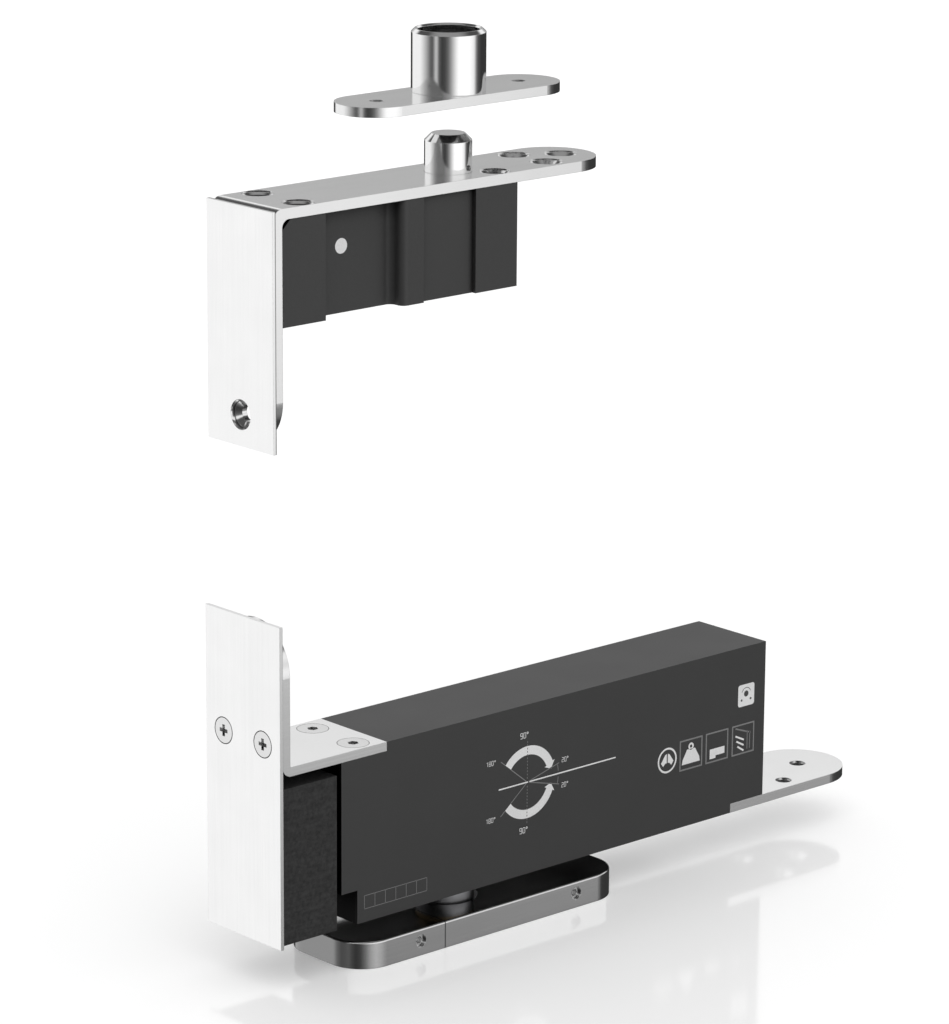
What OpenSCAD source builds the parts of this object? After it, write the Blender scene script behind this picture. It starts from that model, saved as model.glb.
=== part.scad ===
// Hydraulic pivot hinge for a door: floor plate, closer in the door's foot, top pivot and frame socket.
// Millimetres, +Z up. The origin is on the pivot axis at floor level; +X runs along the door, away from
// the door's edge, and -Y is the side with the printed face.

/* [Door and clearances] */
// Distance from the pivot axis to the outer face of the edge plates
edge_x = 83.7; // [80:0.1:90]
// Thickness of the top pivot's bent plate
bracket_t = 3.4; // [3:0.1:4]
// Thickness of the front bracket
foot_t = 3; // [2.6:0.1:3.4]
// Thickness of the edge plates
edge_plate_t = 1.2; // [1:0.1:2]
// Radial running clearance of turning and sliding fits
running_gap = 0.05; // [0.03:0.01:0.08]
// Radial gap around flush screw heads
head_gap = 0.15; // [0.1:0.05:0.3]

/* [Floor plate] */
// Overall width of the floor plate
floor_w = 39; // [37:0.5:44]
// Height of the floor plate
floor_h = 9; // [8.5:0.1:11]
// Distance from the axis to the front end of the floor plate
floor_front = 54; // [52:0.5:60]
// Distance from the axis to the rear end of the floor plate
floor_rear = 62.4; // [60:0.1:70]
// Corner radius of the floor plate
floor_r = 12.2; // [10:0.1:14]
// Distance from the axis to the joint between the two cover halves
seam_x = 17; // [15:0.5:20]
// Wall of the floor cover
floor_wall = 2.2; // [1.8:0.1:2.6]
// Top thickness of the floor cover
floor_top_t = 2; // [1.6:0.1:2.4]
// Radius of the rounded upper edge of the floor cover
floor_edge_r = 0.7; // [0.4:0.1:1]

/* [Closer] */
// Thickness of the closer, held inside the door
closer_w = 32; // [31:0.5:36]
// Height of the closer
closer_h = 57.6; // [56:0.2:64]
// Height of the closer's underside above the floor
closer_z = 15.2; // [15:0.1:17]
// Distance from the axis to the front end of the sleeve
closer_front = 57.5; // [56:0.5:60]
// Distance from the axis to the rear end of the sleeve
closer_rear = 130.7; // [126:0.1:145]
// Wall of the printed sleeve
sleeve_t = 1.2; // [1:0.1:1.4]
// Gap between the valve block and the sleeve
block_gap = 1.9; // [1.5:0.1:3]
// Gap between the valve block and the foot of the bracket above it
block_top_gap = 3.7; // [3:0.1:4.4]
// Length of the bracket's foot, measured from the outer face of its leg
foot_len = 42.3; // [38:0.1:48]
// Gap between the front edge plate and the bracket's leg behind it
front_gap = 1.4; // [0.4:0.1:2]
// Height of the front edge plate
front_plate_h = 104; // [100:0.5:112]
// Width of the front edge plate
front_plate_w = 35.8; // [34:0.1:40]
// Height of the front edge plate's lower end above the floor
front_plate_z = 14.8; // [14:0.1:15.2]
// Height of the front plate's two screws above the floor
front_screw_z = 79.8; // [78:0.1:90]
// Thickness of the rear tab
tab_t = 3.2; // [3:0.1:4]
// Distance from the axis to the front end of the tab's visible edge
tab_start = 115.2; // [112:0.1:120]
// Distance from the axis to the centre of the tab's round end
tab_centre = 164; // [160:0.5:185]

/* [Closer drive] */
// Bore of the piston
bore_d = 24; // [22:0.5:24.5]
// Radius of the pitch circle of the spindle's pinion
pinion_r = 5; // [5:0.1:5.2]
// Outer diameter of the lower bearing
lower_bearing_d = 20; // [18:0.5:22]
// Outer diameter of the upper bearing
upper_bearing_d = 14; // [13:0.5:16]
// Diameter of the spindle's collar
collar_d = 19; // [18:0.5:20]
// Wire diameter of the rear spring
rear_wire = 3.2; // [2.8:0.1:3.4]
// Wire diameter of the front spring
front_wire = 2.4; // [2:0.1:2.6]

/* [Top pivot] */
// Height of the top plate's upper face above the floor
top_z = 247; // [244:0.5:260]
// Width of the top plate
top_w = 29.2; // [28:0.1:32]
// Distance from the axis to the centre of the top plate's round end
top_centre = 43.4; // [42:0.1:50]
// Height of the top edge plate
top_plate_h = 74.2; // [72:0.1:82]
// Width of the top edge plate
top_plate_w = 31.2; // [30:0.1:34]
// Depth of the top housing below the plate
housing_h = 33; // [32:0.5:36]
// Distance from the axis to the rear end of the housing
housing_rear = 16.2; // [16:0.1:18]
// Diameter of the pivot pin
pin_d = 15; // [14:0.5:15.5]
// Height of the pin above the plate when it is out
pin_out = 12.1; // [11:0.1:13]

/* [Frame socket] */
// Distance in the stored pose between the end of the pin and the underside of the socket plate
socket_lift = 10; // [8:0.5:40]
// Thickness of the socket plate
socket_t = 3.1; // [3:0.1:4]
// Width of the socket plate
socket_w = 25.3; // [25:0.1:30]
// Distance between the centres of the socket plate's round ends
socket_span = 60; // [58:0.5:66]
// Outer diameter of the socket bush
bush_d = 23.4; // [23:0.1:24]
// Height of the bush above the plate's upper face
bush_h = 19.6; // [18:0.1:22]
// Wall of the socket bush
bush_wall = 2; // [1.8:0.1:2.2]
// Width of the shoulder with which the bush stands on its plate
bush_shoulder = 1; // [0.6:0.1:1.2]

/* [Hidden] */
$fn = 48;
closer_top = closer_z + closer_h;
leg_x = -edge_x + edge_plate_t;
body_half = closer_w / 2 - sleeve_t;
body_top = closer_top - sleeve_t;
bore_z = closer_z + closer_h / 2;
bore_r = bore_d / 2;
block_rear = -closer_front - block_gap;
block_top = closer_top - foot_t - block_top_gap;
notch_run = 6.5;
notch_x = -closer_front + notch_run;
notch_rise = 11.2;
notch_z = closer_z + notch_rise;
front_leg_x = leg_x + front_gap;
foot_end = front_leg_x + foot_len;
foot_screw_inset = 8.6;
bracket_screw_x = foot_end - foot_screw_inset;
foot_screw_side_inset = 6.2;
bracket_screw_y = closer_w / 2 - foot_screw_side_inset;
front_screw_side_inset = 8.4;
front_screw_y = front_plate_w / 2 - front_screw_side_inset;
plate_inset = 1.4;
bend_outer_r = bracket_t;
front_leg = front_plate_z + front_plate_h - plate_inset - closer_top + foot_t;
screw_head_d = 10;
screw_head_h = 2.7;
screw_d = 5;
bracket_screw_len = 15;
edge_head_d = 8.2;
edge_head_gap = 0.3;
edge_hole_d = edge_head_d + edge_head_gap;
edge_screw_len = edge_plate_t + front_gap + foot_t;
edge_head_h = 2.5;
tab_head_d = 8;
tab_head_h = 2.2;
tab_screw_d = 4;
tab_screw_len = 11;
tab_hole_d = 5.6;
tab_hole_head_d = 9.4;
block_head_d = 7;
block_head_h = 4.2;
block_head_recess = 0.8;
block_screw_d = 4;
block_screw_len = 25;
block_bore_h = block_head_recess + block_head_h;
base_h = floor_h - floor_top_t;
floor_screw_inset = 13;
floor_screw_y = 7.5;
floor_screw_d = 5.5;
grub_d = 4.4;
grub_len = 5;
grub_recess = 0.9;
grub_z = floor_h * 0.55;
grub_front_inset = 26.6;
grub_rear_inset = 22;
grub_front_x = -floor_front + grub_front_inset;
grub_rear_x = floor_rear - grub_rear_inset;
cover_hole_gap = 1.2;
cover_hole_r = collar_d / 2 + cover_hole_gap;
spindle_key = 13;
key_floor = 0.8;
pinion_teeth = 10;
tooth_module = 2 * pinion_r / pinion_teeth;
tip_r = pinion_r + tooth_module;
spindle_shoulder = 0.3;
spindle_r = tip_r + spindle_shoulder;
pressure_angle = 20;
rack_addendum = 0.55 * tooth_module;
tooth_root_gap = 0.25 * tooth_module;
backlash = 0.12;
base_circle_r = pinion_r * cos(pressure_angle);
journal_step = 0.1;
journal_r = pinion_r - rack_addendum - tooth_root_gap - journal_step;
collar_gap = 1.6;
collar_top = closer_z - collar_gap;
washer_gap = running_gap;
seal_t = 2;
bearing_gap = 1;
lower_bearing_top = bore_z - bore_r - bearing_gap;
upper_bearing_z = bore_z + bore_r + bearing_gap;
upper_bearing_h = 8;
door_swing_deg = 130;
piston_travel = pinion_r * door_swing_deg * PI / 180;
window_gap = 1.2;
window_half = piston_travel + tip_r + window_gap;
front_head = 7.5;
rear_head = 12;
piston_front = -window_half - front_head;
piston_rear = window_half + rear_head;
chamber_front_wall = 3.5;
chamber_front = -closer_front + chamber_front_wall;
plug_len = 12;
plug_front = closer_rear - sleeve_t - plug_len;
plug_step = 1;
plug_r = bore_r + plug_step;
tab_screw_inset = 12;
tab_screw_x = tab_start - tab_screw_inset;
tab_screw_side_inset = 7;
tab_screw_y = closer_w / 2 - tab_screw_side_inset;
tab_circle_inset = 10.9;
tab_circle_x = tab_centre - tab_circle_inset;
tab_circle_r = 11.4;
valve_side_inset = 8;
valve_y = closer_w / 2 - valve_side_inset;
valve_rise = 10.4;
valve_z = closer_z + valve_rise;
valve_r = 3;
valve_setback = 0.6;
valve_front = leg_x + valve_setback;
filler_rise = 4;
filler_z = bore_z + filler_rise;
filler_r = 6;
block_screw_side_inset = 5.6;
block_screw_y = closer_w / 2 - block_screw_side_inset;
block_screw_drop = 6;
block_screw_z = block_top - block_screw_drop;
plate_under = top_z - bracket_t;
housing_bottom = plate_under - housing_h;
housing_setback = 0.2;
housing_half = top_w / 2 - housing_setback;
well_floor_t = 2;
well_floor = housing_bottom + well_floor_t;
pin_r = pin_d / 2;
well_spare = 0.4;
pin_low = well_floor + pin_out + well_spare;
pin_seat_step = 2.3;
pin_seat_r = pin_r - pin_seat_step;
pin_seat_h = 12;
pin_seat_top = pin_low + pin_seat_h;
guide_wall = 1.5;
guide_r = pin_r + guide_wall;
guide_h = 7;
guide_z = plate_under - guide_h;
clip_t = 1;
clip_z = guide_z - clip_t - running_gap;
step_front_run = 17.1;
step_front = leg_x + bracket_t + step_front_run;
step_rear_run = 17.4;
step_rear = housing_rear - step_rear_run;
rib_behind = 21.4;
rib_w = 8.6;
rib_rear = step_rear - rib_behind;
rib_front = rib_rear - rib_w;
shallow_cut = 1.6;
shallow_half = housing_half - shallow_cut;
deep_cut = 5.6;
deep_half = housing_half - deep_cut;
cross_pin_d = 4.8;
cross_pin_run = 10.8;
cross_pin_x = step_front + cross_pin_run;
cross_pin_rise = 20.7;
cross_pin_z = housing_bottom + cross_pin_rise;
housing_front_inset = 10.4;
housing_screw_x1 = leg_x + bracket_t + housing_front_inset;
housing_rear_inset = 5.2;
housing_screw_x2 = housing_rear - housing_rear_inset;
housing_side_inset = 5.1;
housing_screw_y = top_w / 2 - housing_side_inset;
housing_hole_d = 9.6;
housing_head_d = 7.4;
housing_head_h = 1.65;
housing_head_recess = 1.15;
housing_screw_d = 4.2;
housing_screw_len = 15.9;
top_circle_inset = 4.3;
top_circle_x = top_centre - top_circle_inset;
top_circle_r = 8.8;
top_hole_d = 5.6;
top_hole_head_d = 10.4;
top_plate_z = top_z - 0.4 - top_plate_h;
leg_setback = 0.8;
top_leg = top_z - top_plate_z - leg_setback;
top_bend_r = 2.6;
bend_gap = 0.9;
leg_screw_rise = 9.8;
leg_screw_z = top_plate_z + leg_screw_rise;
leg_hole_d = 5.2;
leg_hole_head_d = 9.2;
open_hole_head_h = 2.6;
socket_hole_d = 4.3;
socket_hole_head_d = 8.6;
socket_under = top_z + pin_out + socket_lift;
socket_z = socket_under + socket_t;
bush_top = socket_z + bush_h;
liner_r = bush_d / 2 - bush_wall;
liner_drop = 5.5;
liner_top = bush_top - liner_drop;
spigot_r = bush_d / 2 - bush_shoulder;
plug_groove_inset = 4;
plug_groove_x = plug_front + plug_groove_inset;
groove_w = 2;
tab_overlap = 24;
cut = 0.01;
far = 400;

// ---- shared shapes ----

// Flat plate outline with square corners rounded by r
module rounded_outline(x1, x2, half, r) {
    translate([x1 + r, -half]) square([x2 - x1 - 2 * r, 2 * half]);
    translate([x1, -half + r]) square([x2 - x1, 2 * half - 2 * r]);
    for (x = [x1 + r, x2 - r])
        for (y = [-half + r, half - r])
            translate([x, y]) circle(r = r);
}

// Plate of height h with the rounded outline; its upper edge is rounded by edge
module soft_plate(x1, x2, half, r, h, edge) {
    linear_extrude(h - edge) rounded_outline(x1, x2, half, r);
    translate([0, 0, h - edge]) {
        for (x = [x1 + r, x2 - r])
            for (y = [-half + r, half - r])
                translate([x, y, 0]) rotate_extrude() intersection() {
                    edge_profile(-r, r, edge);
                    square([r, edge]);
                }
        translate([x1 + r, 0, 0]) rotate([90, 0, 90]) linear_extrude(x2 - x1 - 2 * r)
            edge_profile(-half, half, edge);
        translate([0, half - r, 0]) rotate([90, 0, 0]) linear_extrude(2 * (half - r))
            edge_profile(x1, x2, edge);
    }
}

// Cross-section of a slab's rounded upper edge, from a to b, standing on y = 0
module edge_profile(a, b, edge) {
    translate([a + edge, 0]) square([b - a - 2 * edge, edge]);
    intersection() {
        translate([a, 0]) square([b - a, edge]);
        for (x = [a + edge, b - edge])
            translate([x, 0]) circle(r = edge);
    }
}

// Flush screw with its head's top at z = 0 and its shank along -Z
module flush_screw(head_d, head_h, shank_d, len, drive) {
    difference() {
        union() {
            rotate_extrude()
                polygon([[0, 0], [head_d / 2, 0], [head_d / 2, -0.4], [shank_d / 2, -head_h], [0, -head_h]]);
            translate([0, 0, -len]) cylinder(d = shank_d, h = len - head_h + cut);
        }
        if (drive == "hex")
            translate([0, 0, -head_h * 0.75]) cylinder(d = head_d * 0.36, h = head_h, $fn = 6);
        if (drive == "cross")
            for (turn = [0, 90])
                rotate(turn) translate([-head_d * 0.23, -0.6, -head_h * 0.7]) cube([head_d * 0.46, 1.2, head_h]);
    }
}

// Hole for a flush screw: countersink at z = 0, shank along -Z
module flush_hole(head_d, head_h, shank_d, len) {
    translate([0, 0, -len]) cylinder(d = shank_d, h = len + cut);
    rotate_extrude()
        polygon([[0, cut], [head_d / 2 + head_gap, cut], [head_d / 2 + head_gap, -0.4 - head_gap],
            [shank_d / 2, -head_h - head_gap], [0, -head_h - head_gap]]);
}

// Bent plate: outer corner at the origin, foot along +X, leg along +Z with a round end
module bent_bracket(t, half, foot, leg, outer_r, inner_r) {
    rotate([90, 0, 0]) translate([0, 0, -half]) linear_extrude(2 * half) {
        difference() {
            union() {
                square([foot, t]);
                square([t, leg - half]);
            }
            difference() {
                square(outer_r);
                translate([outer_r, outer_r]) circle(r = outer_r);
            }
        }
        difference() {
            translate([t - cut, t - cut]) square(inner_r + cut);
            translate([t + inner_r, t + inner_r]) circle(r = inner_r);
        }
    }
    translate([0, 0, leg - half]) rotate([0, 90, 0]) cylinder(r = half, h = t);
}

// Round wire wound along +X from x1 to x2, as a closed tube with flat cut ends
module coil(x1, x2, mean_r, wire_d, turns) {
    per_turn = 16;
    ring = 8;
    steps = turns * per_turn;
    run = x2 - x1 - wire_d;
    pitch = run / turns;
    lean = atan2(pitch, 2 * PI * mean_r);
    points = [for (i = [0:steps]) for (j = [0:ring - 1])
        let (a = 360 * i / per_turn, b = 360 * j / ring,
            out = mean_r + wire_d / 2 * cos(b), side = wire_d / 2 * sin(b))
        [x1 + wire_d / 2 + run * i / steps + side * cos(lean),
            out * cos(a) + side * sin(lean) * sin(a),
            out * sin(a) - side * sin(lean) * cos(a)]];
    walls = [for (i = [0:steps - 1]) for (j = [0:ring - 1])
        let (k = (j + 1) % ring)
        [i * ring + j, i * ring + k, (i + 1) * ring + k, (i + 1) * ring + j]];
    front_end = [for (j = [ring - 1:-1:0]) j];
    rear_end = [for (j = [0:ring - 1]) steps * ring + j];
    polyhedron(points, concat(walls, [front_end, rear_end]));
}

// ---- fixed to the floor ----

module floor_base() {
    color("slategray")
    difference() {
        linear_extrude(base_h)
            rounded_outline(-floor_front + floor_wall, floor_rear - floor_wall, floor_w / 2 - floor_wall,
                floor_r - floor_wall);
        translate([-spindle_key / 2, -spindle_key / 2, key_floor]) cube([spindle_key, spindle_key, far]);
        for (x = [-floor_front + floor_screw_inset, floor_rear - floor_screw_inset])
            for (y = [-floor_screw_y, floor_screw_y])
                translate([x, y, base_h]) flush_hole(screw_head_d, screw_head_h, floor_screw_d, base_h + 1);
        grub_holes();
    }
}

// Bores for the four side screws that lock the covers onto the base
module grub_holes() {
    for (x = [grub_front_x, grub_rear_x])
        for (side = [-1, 1])
            translate([x, side * (floor_w / 2 + 1), grub_z]) rotate([side * 90, 0, 0])
                cylinder(d = grub_d, h = grub_len + grub_recess + 1.1);
}

// The whole floor cover, before it is split into its two halves
module cover_shell() {
    difference() {
        soft_plate(-floor_front, floor_rear, floor_w / 2, floor_r, floor_h, floor_edge_r);
        translate([0, 0, -cut]) linear_extrude(base_h + cut)
            rounded_outline(-floor_front + floor_wall, floor_rear - floor_wall, floor_w / 2 - floor_wall,
                floor_r - floor_wall);
        cylinder(r = cover_hole_r, h = far);
        grub_holes();
    }
}

module base_cover_front() {
    color("silver")
    intersection() {
        cover_shell();
        translate([-far, -far / 2, -1]) cube([far - seam_x - 0.05, far, far]);
    }
}

module base_cover_rear() {
    color("silver")
    intersection() {
        cover_shell();
        translate([-seam_x, -far / 2, -1]) cube([far, far, far]);
    }
}

module cover_grub_screws() {
    color("gray")
    for (x = [grub_front_x, grub_rear_x])
        for (side = [-1, 1])
            translate([x, side * (floor_w / 2 - grub_recess), grub_z]) rotate([side * 90, 0, 0])
                difference() {
                    cylinder(d = grub_d, h = grub_len);
                    translate([0, 0, -cut]) cylinder(d = grub_d * 0.58, h = grub_len * 0.4, $fn = 6);
                }
}

// Angle of a tooth flank at radius r, from the tooth's centre line
function flank(r) =
    (PI * tooth_module / 2 - backlash) / (2 * pinion_r) * 180 / PI
    + roll_angle(pressure_angle) - roll_angle(acos(min(1, base_circle_r / r)));

// Involute function in degrees
function roll_angle(a) = tan(a) * 180 / PI - a;

// Outline of the pinion, with one tooth pointing along +Y
module pinion_outline() {
    flank_steps = 4;
    root_r = journal_r + journal_step;
    radii = concat([root_r], [for (i = [0:flank_steps])
        base_circle_r + (tip_r - base_circle_r) * i / flank_steps]);
    half_angles = [for (r = radii) flank(max(r, base_circle_r))];
    last = len(radii) - 1;
    polygon([for (tooth = [0:pinion_teeth - 1]) for (k = [0:2 * last + 1])
        let (i = k <= last ? k : 2 * last + 1 - k, side = k <= last ? -1 : 1,
            a = 90 + tooth * 360 / pinion_teeth + side * half_angles[i])
        [radii[i] * cos(a), radii[i] * sin(a)]]);
}

module spindle() {
    color("dimgray") {
        translate([-spindle_key / 2, -spindle_key / 2, key_floor])
            cube([spindle_key, spindle_key, base_h - key_floor]);
        translate([0, 0, base_h]) cylinder(d = collar_d, h = collar_top - base_h);
        translate([0, 0, collar_top]) cylinder(r = spindle_r, h = bore_z - bore_r - collar_top);
        translate([0, 0, bore_z - bore_r]) linear_extrude(2 * bore_r) pinion_outline();
        translate([0, 0, bore_z + bore_r]) cylinder(r = journal_r, h = upper_bearing_h + 1);
    }
}

// ---- fixed to the door frame ----

module socket_outline() {
    translate([-socket_span / 2, -socket_w / 2]) square([socket_span, socket_w]);
    for (x = [-socket_span / 2, socket_span / 2])
        translate([x, 0]) circle(d = socket_w);
}

module socket_plate() {
    color("lightgray")
    difference() {
        translate([0, 0, socket_under]) linear_extrude(socket_t) socket_outline();
        translate([0, 0, socket_under - 1]) cylinder(r = spigot_r, h = socket_t + 2);
        for (x = [-socket_span / 2 + 0.5, socket_span / 2 - 0.5])
            translate([x, 0, socket_under]) mirror([0, 0, 1])
                flush_hole(socket_hole_head_d, 2.3, socket_hole_d, socket_t + 1);
    }
}

module socket_bush() {
    edge = 1.1;
    color("silver")
    rotate_extrude()
        polygon([[liner_r, socket_under], [spigot_r, socket_under], [spigot_r, socket_z],
            [bush_d / 2, socket_z], [bush_d / 2, bush_top - edge], [bush_d / 2 - edge, bush_top],
            [liner_r + edge / 2, bush_top], [liner_r, bush_top - edge / 2]]);
}

module socket_liner() {
    color("darkgoldenrod")
    difference() {
        translate([0, 0, socket_under]) cylinder(r = liner_r, h = liner_top - socket_under);
        translate([0, 0, socket_under - 1]) cylinder(r = pin_r + running_gap, h = far);
        translate([0, 0, socket_under - cut])
            cylinder(r1 = pin_r + 1.2, r2 = pin_r + running_gap, h = 1.2);
    }
}

// ---- closer, fixed to the door ----

module spindle_bores() {
    translate([0, 0, closer_z - 1]) cylinder(d = lower_bearing_d, h = bore_z - closer_z);
    translate([0, 0, bore_z]) cylinder(d = upper_bearing_d, h = upper_bearing_z + upper_bearing_h + 1 - bore_z);
}

module closer_body() {
    color("gray")
    difference() {
        union() {
            translate([-closer_front, -body_half, closer_z])
                cube([closer_front + closer_rear - sleeve_t, 2 * body_half, body_top - closer_z]);
            translate([block_rear, -body_half + 3, notch_z])
                cube([block_gap + 1, 2 * body_half - 6, block_top - notch_z - 1]);
        }
        // seat of the bracket's foot
        translate([-closer_front - 1, -closer_w / 2, closer_top - foot_t])
            cube([foot_end + closer_front + 1, closer_w, foot_t]);
        // corner cut away beside the valve block
        translate([-closer_front - 1, -closer_w / 2, closer_z - 1])
            cube([notch_x + closer_front + 1, closer_w, notch_z - closer_z + 1]);
        // seat of the rear tab
        translate([tab_start - tab_overlap, -closer_w / 2, closer_z - 1])
            cube([far, closer_w, tab_t + 1]);
        translate([chamber_front, 0, bore_z]) rotate([0, 90, 0]) cylinder(r = bore_r, h = far);
        translate([plug_front, 0, bore_z]) rotate([0, 90, 0]) cylinder(r = plug_r, h = far);
        spindle_bores();
        bracket_screw_places() translate([0, 0, -bracket_screw_len]) cylinder(d = screw_d, h = far);
        tab_screw_places() translate([0, 0, -1]) cylinder(d = tab_screw_d, h = tab_screw_len + 1);
        block_screw_places() cylinder(d = block_screw_d, h = block_bore_h + block_screw_len);
    }
}

module label_sleeve() {
    color("#2b2b2d")
    difference() {
        translate([-closer_front, -closer_w / 2, closer_z])
            cube([closer_front + closer_rear, closer_w, closer_h]);
        translate([-closer_front - 1, -body_half, closer_z - 1])
            cube([closer_front + closer_rear - sleeve_t + 1, 2 * body_half, body_top - closer_z + 1]);
        translate([-closer_front - 1, -closer_w, closer_top - foot_t])
            cube([foot_end + closer_front + 1, 2 * closer_w, far]);
        translate([-closer_front - 1, -closer_w, closer_z - 1])
            cube([notch_x + closer_front + 1, 2 * closer_w, notch_z - closer_z + 1]);
        translate([tab_start, -closer_w, closer_z - 1]) cube([far, 2 * closer_w, tab_t + 1]);
    }
}

module valve_block() {
    color("#303030")
    difference() {
        translate([leg_x, -closer_w / 2, closer_z])
            cube([block_rear - leg_x, closer_w, block_top - closer_z]);
        for (side = [-1, 1])
            translate([leg_x - 1, side * valve_y, valve_z]) rotate([0, 90, 0])
                cylinder(r = valve_r + running_gap, h = block_rear - leg_x - 2);
        translate([leg_x - 1, 0, filler_z]) rotate([0, 90, 0]) cylinder(r = filler_r, h = 11);
        block_screw_places() {
            cylinder(d = block_screw_d + 0.4, h = far);
            cylinder(d = block_head_d + 0.6, h = block_bore_h);
        }
    }
}

// Puts a child at each valve block screw, along +X from the block's front face
module block_screw_places() {
    for (side = [-1, 1])
        translate([leg_x, side * block_screw_y, block_screw_z]) rotate([0, 90, 0]) children();
}

module valve_block_screws() {
    color("darkgray")
    block_screw_places() difference() {
        union() {
            translate([0, 0, block_head_recess]) cylinder(d = block_head_d, h = block_head_h);
            translate([0, 0, block_bore_h - cut]) cylinder(d = block_screw_d, h = block_screw_len);
        }
        translate([0, 0, block_head_recess - cut])
            cylinder(d = block_head_d * 0.48, h = block_head_h * 0.6, $fn = 6);
    }
}

module filler_plug() {
    color("darkgray")
    translate([leg_x + 0.6, 0, filler_z]) rotate([0, 90, 0]) difference() {
        cylinder(r = filler_r, h = 9.4);
        translate([0, 0, -cut]) cylinder(d = 6.9, h = 5, $fn = 6);
    }
}

module needle_valve(side) {
    translate([valve_front, side * valve_y, valve_z]) rotate([0, 90, 0]) difference() {
        union() {
            cylinder(r = valve_r, h = 12);
            translate([0, 0, 12 - cut]) cylinder(r1 = valve_r, r2 = 0.8, h = 6);
        }
        translate([-valve_r - 1, -0.5, -cut]) cube([2 * valve_r + 2, 1, 1.5]);
    }
}

module closing_valve() {
    color("goldenrod") needle_valve(-1);
}

module latching_valve() {
    color("goldenrod") needle_valve(1);
}

module bracket_screw_places() {
    for (side = [-1, 1])
        translate([bracket_screw_x, side * bracket_screw_y, closer_top]) children();
}

module front_bracket() {
    color("gainsboro")
    difference() {
        translate([front_leg_x, 0, closer_top - foot_t])
            bent_bracket(foot_t, closer_w / 2, foot_len, front_leg, bend_outer_r, 0.5);
        bracket_screw_places() flush_hole(screw_head_d, screw_head_h, screw_d, 10);
        edge_screw_places() flush_hole(edge_hole_d, edge_head_h, screw_d, 10);
    }
}

module bracket_screws() {
    color("silver")
    bracket_screw_places() flush_screw(screw_head_d, screw_head_h, screw_d, bracket_screw_len, "hex");
}

// Puts a child at each screw of the front edge plate, with -Z turned to +X
module edge_screw_places() {
    for (side = [-1, 1])
        translate([-edge_x, side * front_screw_y, front_screw_z]) rotate([0, -90, 0]) children();
}

module front_edge_plate() {
    color("whitesmoke")
    difference() {
        translate([-edge_x, -front_plate_w / 2, front_plate_z])
            cube([edge_plate_t, front_plate_w, front_plate_h]);
        edge_screw_places() flush_hole(edge_hole_d, edge_head_h, screw_d, 10);
    }
}

module edge_plate_screws() {
    color("silver")
    edge_screw_places() flush_screw(edge_head_d, edge_head_h, screw_d, edge_screw_len, "cross");
}

module tab_screw_places() {
    for (side = [-1, 1])
        translate([tab_screw_x, side * tab_screw_y, closer_z]) children();
}

module rear_tab() {
    color("gainsboro")
    difference() {
        union() {
            translate([tab_start - tab_overlap, -body_half, closer_z])
                cube([tab_centre - tab_start + tab_overlap, 2 * body_half, tab_t]);
            translate([tab_start, -closer_w / 2, closer_z]) cube([tab_centre - tab_start, closer_w, tab_t]);
            translate([tab_centre, 0, closer_z]) cylinder(d = closer_w, h = tab_t);
        }
        tab_screw_places() mirror([0, 0, 1]) flush_hole(tab_head_d, tab_head_h, tab_screw_d, tab_t + 1);
        for (turn = [0, 120, 240])
            translate([tab_circle_x, 0, closer_z]) rotate(turn) translate([tab_circle_r, 0, 0])
                mirror([0, 0, 1]) flush_hole(tab_hole_head_d, tab_head_h, tab_hole_d, tab_t + 1);
    }
}

module rear_tab_screws() {
    color("silver")
    tab_screw_places() mirror([0, 0, 1])
        flush_screw(tab_head_d, tab_head_h, tab_screw_d, tab_screw_len, "hex");
}

module ring(outer_r, inner_r, z1, z2) {
    translate([0, 0, z1]) difference() {
        cylinder(r = outer_r, h = z2 - z1);
        translate([0, 0, -1]) cylinder(r = inner_r, h = z2 - z1 + 2);
    }
}

module lower_bearing() {
    color("tan")
    ring(lower_bearing_d / 2, spindle_r + running_gap, closer_z + seal_t, lower_bearing_top);
}

module upper_bearing() {
    color("tan")
    ring(upper_bearing_d / 2, journal_r + running_gap, upper_bearing_z, upper_bearing_z + upper_bearing_h);
}

module spindle_seal() {
    color("black")
    ring(lower_bearing_d / 2, spindle_r + running_gap, closer_z, closer_z + seal_t);
}

module thrust_washer() {
    color("tan")
    ring(collar_d / 2, spindle_r + running_gap, collar_top + washer_gap, closer_z);
}

module end_plug() {
    color("darkgray")
    difference() {
        translate([plug_front, 0, bore_z]) rotate([0, 90, 0]) cylinder(r = plug_r, h = plug_len);
        translate([plug_front + plug_len - 5, 0, bore_z]) rotate([0, 90, 0]) cylinder(d = 10, h = 6, $fn = 6);
        translate([plug_groove_x, 0, bore_z]) rotate([0, 90, 0]) ring(plug_r + 1, plug_r - 1.2, 0, groove_w);
    }
}

module end_plug_seal() {
    color("black")
    translate([plug_groove_x, 0, bore_z]) rotate([0, 90, 0]) ring(plug_r, plug_r - 1.2, 0, groove_w);
}

module front_spring() {
    color("steelblue")
    translate([0, 0, bore_z])
        coil(chamber_front, piston_front, bore_r - front_wire / 2 - 1, front_wire, 4);
}

module rear_spring() {
    color("steelblue")
    translate([0, 0, bore_z])
        coil(piston_rear, plug_front, bore_r - rear_wire / 2 - 1, rear_wire, 10);
}

// ---- piston ----

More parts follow.
